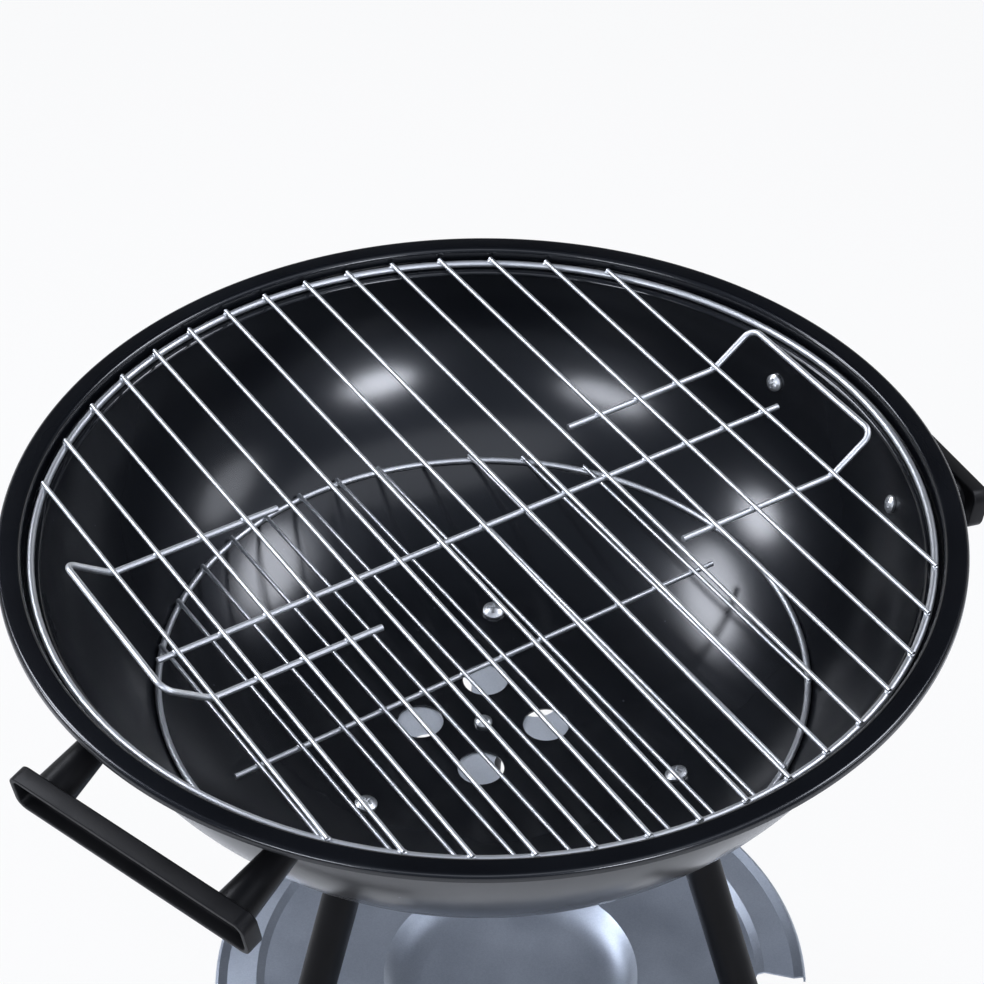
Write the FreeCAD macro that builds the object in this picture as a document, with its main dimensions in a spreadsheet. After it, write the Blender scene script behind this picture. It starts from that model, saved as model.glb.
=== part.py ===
import FreeCAD, Part
import math
import os
import re
import Sketcher

Vector = FreeCAD.Vector
Rotation = FreeCAD.Rotation
Placement = FreeCAD.Placement

# Kettle barbecue: origin on the ground under the bowl's axis, +Z up, +X towards the wheels.
# The legs stand round an axis of their own, a little nearer the foot leg.
# Driving dimensions, in millimetres and degrees.
dimensions = {
    # pressed bowl
    "rim_height": 542,
    "bowl_depth": 129,
    "floor_radius": 60,
    "wall_radius": 140,
    "bowl_sheet": 1,
    "ledge_drop": 8,
    "ledge_width": 8,
    "step_bend": 1.2,
    "rim_width": 11,
    "rim_bend": 2,
    "rim_skirt": 3.5,
    # clearances
    "seat_gap": 0.3,
    "running_gap": 0.08,
    "fit_gap": 0.05,
    "hole_gap": 0.25,
    # screws and nuts
    "leg_screw_diameter": 6,
    "leg_screw_length": 18,
    "leg_head_diameter": 10.5,
    "small_screw_diameter": 5,
    "small_head_diameter": 8.5,
    "head_height": 3,
    "head_edge": 1.2,
    "recess_depth": 1.5,
    "recess_width": 1.1,
    "recess_share": 0.62,
    "nut_width": 8,
    "nut_height": 4,
    "screw_end": 2,
    # vent in the bowl's floor
    "vent_hole": 22,
    "vent_holes": 4,
    "vent_circle": 30,
    "vent_angle": 22,
    "damper_margin": 9,
    "damper_sheet": 1,
    "damper_turn": 35,
    "tab_width": 14,
    "tab_reach": 22,
    "tab_drop": 14,
    "washer_diameter": 14,
    "washer_height": 1.2,
    # legs
    "leg_circle": 84,
    "leg_shift": 15,
    "leg_splay": 16.8,
    "wheel_leg_angle": 60,
    "foot_leg_angle": 180,
    "tube_diameter": 18,
    "tube_wall": 1,
    "plug_height": 12,
    "plug_reach": 25,
    "foot_height": 8,
    "foot_wall": 2.5,
    "foot_grip": 24,
    "end_cap": 4,
    "end_stub": 8,
    "leg_past_axle": 18,
    # handles
    "right_handle_angle": -128.5,
    "left_handle_angle": 74.5,
    "handle_drop": 27,
    "handle_stand_off": 27.5,
    "bar_length": 136,
    "bar_height": 21,
    "bar_depth": 8.5,
    "bar_lean": 5,
    "bar_skin": 2.5,
    "bar_corner": 7,
    "post_spacing": 104,
    "post_width": 18,
    "post_height": 17,
    "post_corner": 8,
    "handle_screw_length": 16,
    # shelf
    "shelf_height": 240,
    "shelf_radius": 151,
    "shelf_sheet": 1,
    "well_radius": 65,
    "well_slope": 19,
    "well_depth": 7,
    "band_width": 19,
    "band_ramp": 4,
    "band_rise": 2.2,
    "band_fall": 1.9,
    "lip_width": 6,
    "lip_rise": 1.4,
    "lip_bend": 1.6,
    "lip_skirt": 4,
    "notch_radius": 116,
    "notch_width": 101,
    "notch_flare": 0.29,
    "tongue_width": 26,
    "tongue_drop": 20,
    # cooking grate
    "grate_angle": -123.9,
    "grate_inset": 4,
    "grate_ring_wire": 3.4,
    "grate_wire": 2.2,
    "grate_pitch": 22.2,
    "grate_wires": 15,
    "grate_bar_wire": 2.9,
    "grate_bar_length": 329,
    "wire_overhang": 1.2,
    "weld_set": 0.4,
    "loop_wire": 3,
    "loop_start": 72,
    "loop_width": 94,
    "loop_reach": 22,
    "loop_rise": 16,
    "loop_bend": 6,
    "right_loop_shift": -7.5,
    "left_loop_shift": 14,
    # charcoal grate
    "charcoal_angle": -123,
    "charcoal_ring_radius": 152,
    "charcoal_ring_wire": 3.2,
    "charcoal_wire": 2,
    "charcoal_pitch": 22,
    "charcoal_wires": 12,
    "charcoal_bar_wire": 2.6,
    "charcoal_bar_length": 266,
    # wheels and axle
    "wheel_radius": 75,
    "tread_width": 26,
    "tread_thickness": 7,
    "tread_shoulder": 4,
    "web_thickness": 4,
    "web_hole": 24,
    "web_holes": 6,
    "hub_diameter": 26,
    "hub_length": 30,
    "axle_diameter": 8,
    "axle_cap_diameter": 20,
    "axle_cap_skin": 2,
    "axle_cap_round": 4,
    "axle_grip": 7,
    "spacer_diameter": 14,
    "spacer_length": 6,
    "side_play": 0.4,
}

# Sizes that follow from the driving dimensions.
derived = {
    "floor_top": "rim_height - bowl_depth",
    "floor_under": "floor_top - bowl_sheet",
    "wall_centre": "floor_top + wall_radius",
    "outer_wall": "wall_radius + bowl_sheet",
    "ledge_top": "rim_height - ledge_drop",
    "ledge_inner": "floor_radius + sqrt(wall_radius^2 - (wall_centre - ledge_top)^2)",
    "ledge_outer_wall": "floor_radius + sqrt(outer_wall^2 - (wall_centre - ledge_top + bowl_sheet)^2)",
    "step_radius": "ledge_inner + ledge_width",
    "rim_radius": "step_radius + rim_width",
    "seat_wall": "outer_wall + seat_gap",
    "vent_hole_radius": "vent_hole / 2",
    "damper_radius": "vent_circle + vent_hole_radius + damper_margin",
    "damper_top": "floor_under - seat_gap",
    "washer_top": "damper_top - damper_sheet - seat_gap",
    "nut_top": "washer_top - washer_height",
    "tube_radius": "tube_diameter / 2",
    "bore_radius": "tube_radius - tube_wall",
    "leg_top": "wall_centre - sqrt(outer_wall^2 - (leg_circle - floor_radius)^2)",
    "axle_height": "wheel_radius",
    "foot_leg_end": "(leg_top - foot_height) / cos(leg_splay)",
    "foot_circle": "leg_circle + leg_top * tan(leg_splay)",
    "wheel_leg_end": "(leg_top - axle_height) / cos(leg_splay) + leg_past_axle",
    "axle_circle": "leg_circle + (leg_top - axle_height) * tan(leg_splay)",
    "axle_x": "axle_circle * cos(wheel_leg_angle) - leg_shift",
    "leg_y": "axle_circle * sin(wheel_leg_angle)",
    "lean": "sin(leg_splay) * sin(wheel_leg_angle)",
    "spacer_start": "leg_y + (tube_radius + seat_gap + spacer_diameter / 2 * lean) / sqrt(1 - lean^2)",
    "hub_start": "spacer_start + spacer_length + side_play",
    "cap_start": "hub_start + hub_length + side_play",
    "axle_half": "cap_start + axle_grip",
    "cap_height": "axle_grip + axle_cap_skin",
    "handle_height": "rim_height - handle_drop",
    "handle_circle": "floor_radius + sqrt(outer_wall^2 - (wall_centre - handle_height)^2)",
    "shelf_under": "shelf_height - shelf_sheet",
    "band_end": "shelf_radius - lip_width",
    "band_start": "band_end - band_width",
    "band_crest": "band_start + band_ramp",
    "crest_top": "shelf_height + band_rise",
    "band_top": "crest_top - band_fall",
    "lip_start": "shelf_radius - lip_bend",
    "lip_top": "band_top + lip_rise",
    "well_arc": "(well_slope^2 + well_depth^2) / (2 * well_depth)",
    "tongue_side": "tube_radius + seat_gap",
    "tongue_top": "(leg_top - shelf_height - tongue_side * sin(leg_splay)) / cos(leg_splay)",
    "tongue_end": "leg_circle + tongue_top * sin(leg_splay) - tongue_side * cos(leg_splay)",
    "shelf_screw_at": "tongue_top + tongue_drop / 2",
    "nut_behind": "2 * tube_radius + 2 * seat_gap + shelf_sheet + nut_height",
    "shelf_screw_length": "nut_behind + screw_end",
    "grate_ring_radius": "ledge_inner + grate_inset",
    "grate_ring_height": "ledge_top + seat_gap + grate_ring_wire / 2",
    "grate_wire_height": "grate_ring_height + (grate_ring_wire + grate_wire) / 2 - weld_set",
    "grate_bar_height": "grate_wire_height - (grate_wire + grate_bar_wire) / 2 + weld_set",
    "loop_height": "grate_wire_height - (grate_wire + loop_wire) / 2 + weld_set",
    "last_wire": "grate_pitch * (grate_wires - 1) / 2",
    "charcoal_seat": "wall_radius - seat_gap - charcoal_ring_wire / 2",
    "charcoal_ring_height": "wall_centre - sqrt(charcoal_seat^2 - (charcoal_ring_radius - floor_radius)^2)",
    "charcoal_wire_height": "charcoal_ring_height + (charcoal_ring_wire + charcoal_wire) / 2 - weld_set",
    "charcoal_bar_height": "charcoal_wire_height - (charcoal_wire + charcoal_bar_wire) / 2 + weld_set",
    "wheel_bore": "axle_diameter / 2 + running_gap",
    "rim_inside": "wheel_radius - tread_thickness",
    "web_circle": "(hub_diameter / 2 + rim_inside) / 2",
}

leg_angles = {"left": "wheel_leg_angle", "foot": "foot_leg_angle", "right": "0 - wheel_leg_angle"}
x_axis = Vector(1, 0, 0)
y_axis = Vector(0, 1, 0)
z_axis = Vector(0, 0, 1)

doc = FreeCAD.newDocument("kettle_barbecue")
sheet = doc.addObject("Spreadsheet::Sheet", "sizes")
for row, (name, size) in enumerate(dimensions.items(), start=1):
    sheet.set(f"A{row}", name)
    sheet.set(f"B{row}", str(size))
    sheet.setAlias(f"B{row}", name)
doc.recompute()

nodes = []


# Spell a formula out in cells of the sheet.
def formula(text):
    def spell(match):
        word = match.group(0)
        if word in derived:
            return "(" + formula(derived[word]) + ")"
        if word in dimensions:
            return "sizes." + word
        return word

    return re.sub(r"[a-z][a-z_]*", spell, text)


def value(text):
    return float(sheet.evalExpression(formula(text)))


def add(kind, label):
    item = doc.addObject(kind, label)
    item.Label = label
    return item


def keep(item):
    nodes.append(item)
    return item


def bind(item, **sizes):
    for size, text in sizes.items():
        item.setExpression(size, formula(text))
    return item


def new_sketch(body, plane, label, lift=None):
    sketch = body.newObject("Sketcher::SketchObject", label)
    face = [plane_item for plane_item in body.Origin.OriginFeatures if plane_item.Role == plane][0]
    sketch.AttachmentSupport = [(face, "")]
    sketch.MapMode = "FlatFace"
    if lift:
        sketch.setExpression("AttachmentOffset.Base.z", formula(lift))
    return sketch


def rule(sketch, kind, text, *ends):
    number = sketch.addConstraint(Sketcher.Constraint(kind, *ends, value(text)))
    sketch.setExpression(f"Constraints[{number}]", formula(text))


# Arc of a given radius between two points, shorter way round; turn is 1 for counter-clockwise.
def arc_between(start, end, radius, turn):
    chord = end - start
    middle = (start + end) / 2
    across = Vector(-chord.y, chord.x, 0).normalize()
    centre = middle + across * (turn * math.sqrt(max(radius**2 - (chord.Length / 2) ** 2, 0)))
    first, last = (start, end) if turn > 0 else (end, start)
    start_angle = math.atan2(first.y - centre.y, first.x - centre.x)
    end_angle = math.atan2(last.y - centre.y, last.x - centre.x)
    return Part.ArcOfCircle(Part.Circle(centre, z_axis, radius), start_angle, end_angle)


# Closed outline through corners given as (x, y); one with (x, y, radius, turn) is reached by an arc.
def outline(sketch, corners):
    points = [Vector(value(corner[0]), value(corner[1]), 0) for corner in corners]
    ends = []
    for number, corner in enumerate(corners):
        start = points[number - 1]
        end = points[number]
        if len(corner) == 2:
            edge = sketch.addGeometry(Part.LineSegment(start, end), False)
            ends.append((edge, 1, 2))
        else:
            radius, turn = corner[2:]
            edge = sketch.addGeometry(arc_between(start, end, value(radius), turn), False)
            ends.append((edge, 1, 2) if turn > 0 else (edge, 2, 1))
    for number, corner in enumerate(corners):
        edge, tail, head = ends[number]
        following, next_tail, next_head = ends[(number + 1) % len(ends)]
        sketch.addConstraint(Sketcher.Constraint("Coincident", edge, head, following, next_tail))
        rule(sketch, "DistanceX", corner[0], -1, 1, edge, head)
        rule(sketch, "DistanceY", corner[1], -1, 1, edge, head)
        if len(corner) > 2:
            rule(sketch, "Radius", corner[2], edge)


def ring(sketch, x, y, diameter):
    circle = Part.Circle(Vector(value(x), value(y), 0), z_axis, value(diameter) / 2)
    edge = sketch.addGeometry(circle, False)
    rule(sketch, "DistanceX", x, -1, 1, edge, 3)
    rule(sketch, "DistanceY", y, -1, 1, edge, 3)
    rule(sketch, "Diameter", diameter, edge)


def rounded_box(sketch, x, width, height, corner):
    left, right = f"{x} - {width} / 2", f"{x} + {width} / 2"
    low, high = f"0 - {height} / 2", f"{height} / 2"
    outline(
        sketch,
        [
            (f"{right} - {corner}", low),
            (right, f"{low} + {corner}", corner, 1),
            (right, f"{high} - {corner}"),
            (f"{right} - {corner}", high, corner, 1),
            (f"{left} + {corner}", high),
            (left, f"{high} - {corner}", corner, 1),
            (left, f"{low} + {corner}"),
            (f"{left} + {corner}", low, corner, 1),
        ],
    )


# Body of revolution about Z from a profile of (radius, height).
def turned(label, corners):
    body = add("PartDesign::Body", label)
    profile = new_sketch(body, "XZ_Plane", label + "_profile")
    outline(profile, corners)
    turn = body.newObject("PartDesign::Revolution", label + "_turn")
    turn.Profile = profile
    turn.ReferenceAxis = (profile, ["V_Axis"])
    turn.Angle = 360
    return body


def pad(body, sketch, length, reverse=False):
    feature = body.newObject("PartDesign::Pad", sketch.Name + "_pad")
    feature.Profile = sketch
    feature.Reversed = reverse
    return bind(feature, Length=length)


def drill_through(body, sketch):
    feature = body.newObject("PartDesign::Pocket", sketch.Name + "_cut")
    feature.Profile = sketch
    feature.Type = "ThroughAll"
    feature.Midplane = True
    return feature


def repeat_round(body, feature, sketch, count):
    pattern = body.newObject("PartDesign::PolarPattern", feature.Name + "_pattern")
    pattern.Originals = [feature]
    pattern.Axis = (sketch, ["N_Axis"])
    pattern.Angle = 360
    bind(pattern, Occurrences=count)
    body.Tip = pattern


def cylinder(label, radius, length, placement):
    rod = bind(add("Part::Cylinder", label), Radius=radius, Height=length)
    rod.Placement = placement
    return rod


def cut(label, base, tools):
    for number, tool in enumerate(tools, start=1):
        result = add("Part::Cut", label if number == len(tools) else f"{label}_stage_{number}")
        result.Base = base
        result.Tool = tool
        base = result
    return base


# One piece shown at several places, as one node of separate solids.
def set_of(label, piece, placements):
    copies = []
    for number, placement in enumerate(placements, start=1):
        copy = add("App::Link", f"{label}_{number}")
        copy.LinkedObject = piece
        copy.Placement = placement
        copies.append(copy)
    group = add("Part::Compound", label)
    group.Links = copies
    return keep(group)


def around(azimuth, placement):
    return Placement(Vector(), Rotation(z_axis, azimuth)).multiply(placement)


# Place on the bowl's inner face behind a radius of its outer face, local Z square to it, into the bowl.
def on_wall(azimuth, radius):
    slope = math.asin((radius - value("floor_radius")) / value("outer_wall"))
    inner = value("wall_radius")
    x = value("floor_radius") + inner * math.sin(slope)
    z = value("wall_centre") - inner * math.cos(slope)
    return around(azimuth, Placement(Vector(x, 0, z), Rotation(y_axis, -math.degrees(slope))))


# Turned about the axis that the legs stand round.
def among_legs(side, placement):
    axis = Placement(Vector(-value("leg_shift"), 0, 0), Rotation())
    return axis.multiply(around(value(leg_angles[side]), placement))


# Leg frame: starts at the bowl's outer face, local Z down the leg, local X towards the legs' axis.
def on_leg(side):
    start = Vector(value("leg_circle"), 0, value("leg_top"))
    return among_legs(side, Placement(start, Rotation(y_axis, 180 - value("leg_splay"))))


# Place of a leg's screw on the bowl's inner face.
def leg_screw_place(side):
    top = on_leg(side).Base
    return on_wall(math.degrees(math.atan2(top.y, top.x)), math.hypot(top.x, top.y))


def sunk(placement, depth):
    return placement.multiply(Placement(Vector(0, 0, depth), Rotation()))


# Pan-head screw with a cross recess: head above z = 0, shank below.
def make_screw(label, diameter, length, head):
    dome = "head_height - head_edge"
    body = turned(
        label,
        [
            ("0", f"0 - ({length})"),
            (f"{diameter} / 2", f"0 - ({length})"),
            (f"{diameter} / 2", "0"),
            (f"{head} / 2", "0"),
            (f"{head} / 2", "head_edge"),
            ("0", "head_height", f"(({head} / 2)^2 + ({dome})^2) / (2 * ({dome}))", 1),
        ],
    )
    recess = new_sketch(body, "XY_Plane", label + "_recess", "head_height")
    reach = f"{head} * recess_share / 2"
    half = "recess_width / 2"
    quarter = [(reach, half), (half, half), (half, reach)]
    corners = []
    for turn in range(4):
        for x, y in quarter:
            for step in range(turn):
                x, y = f"0 - ({y})", x
            corners.append((x, y))
    outline(recess, corners)
    pocket = body.newObject("PartDesign::Pocket", label + "_recess_cut")
    pocket.Profile = recess
    bind(pocket, Length="recess_depth")
    return body


def make_bowl():
    pressing = turned(
        "bowl_pressing",
        [
            ("0", "floor_top"),
            ("floor_radius", "floor_top"),
            ("ledge_inner", "ledge_top", "wall_radius", 1),
            ("step_radius - step_bend", "ledge_top"),
            ("step_radius", "ledge_top + step_bend", "step_bend", 1),
            ("step_radius", "rim_height - step_bend - bowl_sheet"),
            ("step_radius + step_bend + bowl_sheet", "rim_height", "step_bend + bowl_sheet", -1),
            ("rim_radius - rim_bend", "rim_height"),
            ("rim_radius", "rim_height - rim_bend", "rim_bend", -1),
            ("rim_radius", "rim_height - rim_skirt"),
            ("rim_radius - bowl_sheet", "rim_height - rim_skirt"),
            ("rim_radius - bowl_sheet", "rim_height - rim_bend"),
            ("rim_radius - rim_bend", "rim_height - bowl_sheet", "rim_bend - bowl_sheet", 1),
            ("step_radius + step_bend + bowl_sheet", "rim_height - bowl_sheet"),
            ("step_radius + bowl_sheet", "rim_height - bowl_sheet - step_bend", "step_bend", 1),
            ("step_radius + bowl_sheet", "ledge_top + step_bend"),
            ("step_radius - step_bend", "ledge_top - bowl_sheet", "step_bend + bowl_sheet", -1),
            ("ledge_outer_wall", "ledge_top - bowl_sheet"),
            ("floor_radius", "floor_under", "outer_wall", -1),
            ("0", "floor_under"),
        ],
    )
    pivot = new_sketch(pressing, "XY_Plane", "vent_pivot_hole")
    ring(pivot, "0", "0", "small_screw_diameter + 2 * hole_gap")
    drill_through(pressing, pivot)
    vents = new_sketch(pressing, "XY_Plane", "vent_holes")
    ring(vents, "vent_circle * cos(vent_angle)", "vent_circle * sin(vent_angle)", "vent_hole")
    repeat_round(pressing, drill_through(pressing, vents), vents, "vent_holes")
    drills = []
    for side in leg_angles:
        drills.append(screw_drill(f"{side}_leg_drill", "leg_screw_diameter", leg_screw_place(side)))
    for number, placement in enumerate(handle_screw_places(), start=1):
        drills.append(screw_drill(f"handle_drill_{number}", "small_screw_diameter", placement))
    keep(cut("bowl", pressing, drills))


# Drill for a screw hole square through the bowl's sheet.
def screw_drill(label, diameter, placement):
    start = sunk(placement, -value("2 * bowl_sheet"))
    return cylinder(label, f"{diameter} / 2 + hole_gap", "4 * bowl_sheet", start)


def handle_screw_places(sides=("right", "left")):
    swing = math.degrees(math.asin(value("post_spacing / 2") / value("handle_circle")))
    places = []
    for side in sides:
        for offset in (-swing, swing):
            places.append(on_wall(value(side + "_handle_angle") + offset, value("handle_circle")))
    return places


# Space taken up by the bowl below its rim, from which plugs and posts keep a seat's gap.
def make_bowl_space():
    seat_top = "floor_radius + sqrt(seat_wall^2 - (wall_centre - ledge_top)^2)"
    return turned(
        "bowl_space",
        [
            ("0", "floor_under - seat_gap"),
            ("floor_radius", "floor_under - seat_gap"),
            (seat_top, "ledge_top", "seat_wall", 1),
            (seat_top, "rim_height"),
            ("0", "rim_height"),
        ],
    )


def make_vent():
    damper = add("PartDesign::Body", "vent_damper")
    disc = new_sketch(damper, "XY_Plane", "damper_disc")
    ring(disc, "0", "0", "2 * damper_radius")
    ring(disc, "0", "0", "small_screw_diameter + 2 * running_gap")
    pad(damper, disc, "damper_sheet", reverse=True)
    vents = new_sketch(damper, "XY_Plane", "damper_holes")
    ring(vents, "vent_circle", "0", "vent_hole")
    repeat_round(damper, drill_through(damper, vents), vents, "vent_holes")
    # finger tab between two holes, turned down at its end
    between = Rotation(z_axis, -value("180 / vent_holes"))
    for label, start, drop in (
        ("damper_tab", "damper_radius - damper_margin / 2", "damper_sheet"),
        ("damper_finger", "damper_radius + tab_reach - damper_sheet", "tab_drop"),
    ):
        tab = new_sketch(damper, "XY_Plane", label)
        side = "tab_width / 2"
        end = "damper_radius + tab_reach"
        tab.AttachmentOffset = Placement(Vector(), between)
        outline(tab, [(start, f"0 - {side}"), (end, f"0 - {side}"), (end, side), (start, side)])
        pad(damper, tab, drop, reverse=True)
    turn = Rotation(z_axis, value("vent_angle + damper_turn"))
    damper.Placement = Placement(Vector(0, 0, value("damper_top")), turn)
    keep(damper)

    shank = "floor_top - nut_top + nut_height + screw_end"
    screw = make_screw("vent_screw", "small_screw_diameter", shank, "small_head_diameter")
    screw.Placement = Placement(Vector(0, 0, value("floor_top")), Rotation())
    keep(screw)

    bore = "small_screw_diameter / 2 + fit_gap"
    washer = turned(
        "vent_washer",
        [
            (bore, "washer_top - washer_height"),
            ("washer_diameter / 2", "washer_top - washer_height"),
            ("washer_diameter / 2", "washer_top"),
            (bore, "washer_top"),
        ],
    )
    keep(washer)
    nut = make_nut("vent_nut")
    nut.Placement = Placement(Vector(0, 0, value("nut_top - nut_height")), Rotation())
    keep(nut)


# Hexagon nut standing on z = 0.
def make_nut(label):
    body = add("PartDesign::Body", label)
    hexagon = new_sketch(body, "XY_Plane", label + "_hexagon")
    corner = "nut_width / sqrt(3)"
    outline(hexagon, [(f"{corner} * cos({turn * 60})", f"{corner} * sin({turn * 60})") for turn in range(6)])
    ring(hexagon, "0", "0", "small_screw_diameter + 2 * fit_gap")
    pad(body, hexagon, "nut_height")
    return body


def make_legs(bowl_space):
    axle_drill = cylinder("axle_drill", "axle_diameter / 2 + fit_gap", "2 * axle_half", axle_place())
    for side in leg_angles:
        frame = on_leg(side)
        end = "foot_leg_end" if side == "foot" else "wheel_leg_end"
        tube = turned(
            f"{side}_tube",
            [
                ("bore_radius", "plug_height"),
                ("tube_radius", "plug_height"),
                ("tube_radius", end),
                ("bore_radius", end),
            ],
        )
        cross = new_sketch(tube, "YZ_Plane", f"{side}_shelf_hole")
        ring(cross, "0", "shelf_screw_at", "small_screw_diameter + 2 * hole_gap")
        drill_through(tube, cross)
        tube.Placement = frame
        if side == "foot":
            tube.Label = "leg_foot"
            keep(tube)
            make_foot(frame)
        else:
            keep(cut(f"leg_{side}", tube, [axle_drill]))
            make_end_plug(side, frame)
        make_top_plug(side, frame, bowl_space)
    screw = make_screw("leg_screw", "leg_screw_diameter", "leg_screw_length", "leg_head_diameter")
    places = [sunk(leg_screw_place(side), value("seat_gap")) for side in leg_angles]
    set_of("leg_screws", screw, places)


# Plug in the top of a leg, shaped to the bowl and drilled for the leg screw.
def make_top_plug(side, frame, bowl_space):
    stub = "bore_radius - fit_gap"
    body = turned(
        f"{side}_plug_turning",
        [
            ("0", "0 - tube_diameter"),
            ("tube_radius", "0 - tube_diameter"),
            ("tube_radius", "plug_height"),
            (stub, "plug_height"),
            (stub, "plug_height + plug_reach"),
            ("0", "plug_height + plug_reach"),
        ],
    )
    body.Placement = frame
    depth = "leg_screw_length + screw_end"
    start = sunk(leg_screw_place(side), -value(depth))
    drill = cylinder(f"{side}_plug_drill", "leg_screw_diameter / 2 + fit_gap", depth, start)
    keep(cut(f"leg_plug_{side}", body, [bowl_space, drill]))


# Cap on the foot leg, cut flat where it stands on the ground.
def make_foot(frame):
    outside = "tube_radius + foot_wall"
    inside = "tube_radius + fit_gap"
    body = turned(
        "foot_moulding",
        [
            (inside, "foot_leg_end - foot_grip"),
            (outside, "foot_leg_end - foot_grip"),
            (outside, "foot_leg_end + foot_grip"),
            ("0", "foot_leg_end + foot_grip"),
            ("0", "foot_leg_end"),
            (inside, "foot_leg_end"),
        ],
    )
    body.Placement = frame
    size = "2 * tube_diameter + 2 * foot_grip"
    ground = bind(add("Part::Box", "ground"), Length=size, Width=size, Height=size)
    half = value(size) / 2
    corner = Vector(value("foot_circle") - half, -half, -value(size))
    ground.Placement = among_legs("foot", Placement(corner, Rotation()))
    keep(cut("foot_cap", body, [ground]))


def make_end_plug(side, frame):
    stub = "bore_radius - fit_gap"
    body = turned(
        f"leg_end_plug_{side}",
        [
            ("0", "wheel_leg_end - end_stub"),
            (stub, "wheel_leg_end - end_stub"),
            (stub, "wheel_leg_end"),
            ("tube_radius", "wheel_leg_end"),
            ("tube_radius", "wheel_leg_end + end_cap"),
            ("0", "wheel_leg_end + end_cap"),
        ],
    )
    body.Placement = frame
    keep(body)


def make_handles(bowl_space):
    for side in ("right", "left"):
        make_handle(side, bowl_space)
    screw = make_screw("handle_screw", "small_screw_diameter", "handle_screw_length", "small_head_diameter")
    for side in ("right", "left"):
        places = [sunk(place, value("seat_gap")) for place in handle_screw_places([side])]
        set_of(f"handle_screws_{side}", screw, places)


# Leans a sketch of the handle's bar back about the bar's length, at a depth out from its inner face.
def lean_back(sketch, depth):
    sketch.AttachmentOffset = Placement(Vector(), Rotation(Vector(-1, 0, 0), value("bar_lean")))
    sketch.setExpression("AttachmentOffset.Rotation.Angle", formula("bar_lean"))
    sketch.setExpression("AttachmentOffset.Base.y", formula(f"{depth} * sin(bar_lean)"))
    sketch.setExpression("AttachmentOffset.Base.z", formula(f"handle_stand_off + {depth} * cos(bar_lean)"))


# Moulded handle: a bar hollowed from outside, leaning back on two posts that meet the bowl's wall.
def make_handle(side, bowl_space):
    body = add("PartDesign::Body", f"{side}_handle_moulding")
    bar = new_sketch(body, "YZ_Plane", f"{side}_bar")
    lean_back(bar, "0")
    rounded_box(bar, "0", "bar_length", "bar_height", "bar_corner")
    pad(body, bar, "bar_depth")
    posts = new_sketch(body, "YZ_Plane", f"{side}_posts", "handle_stand_off + bar_skin / 2")
    for offset in ("0 - post_spacing / 2", "post_spacing / 2"):
        rounded_box(posts, offset, "post_width", "post_height", "post_corner")
    pad(body, posts, "handle_stand_off + post_spacing / 2", reverse=True)
    hollow = new_sketch(body, "YZ_Plane", f"{side}_hollow")
    lean_back(hollow, "bar_depth")
    inner_length, inner_height = "(bar_length - 2 * bar_skin)", "(bar_height - 2 * bar_skin)"
    rounded_box(hollow, "0", inner_length, inner_height, "(bar_corner / 2)")
    recess = body.newObject("PartDesign::Pocket", f"{side}_hollow_cut")
    recess.Profile = hollow
    bind(recess, Length="bar_depth - bar_skin")

    slope = math.asin((value("handle_circle") - value("floor_radius")) / value("outer_wall"))
    start = Vector(value("handle_circle"), 0, value("handle_height"))
    tilt = Rotation(y_axis, 90 - math.degrees(slope))
    body.Placement = around(value(side + "_handle_angle"), Placement(start, tilt))
    tools = [bowl_space]
    depth = "handle_screw_length + screw_end"
    for number, place in enumerate(handle_screw_places([side]), start=1):
        start = sunk(place, -value(depth))
        label = f"{side}_post_drill_{number}"
        tools.append(cylinder(label, "small_screw_diameter / 2 + fit_gap", depth, start))
    keep(cut(f"handle_{side}", body, tools))


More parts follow.
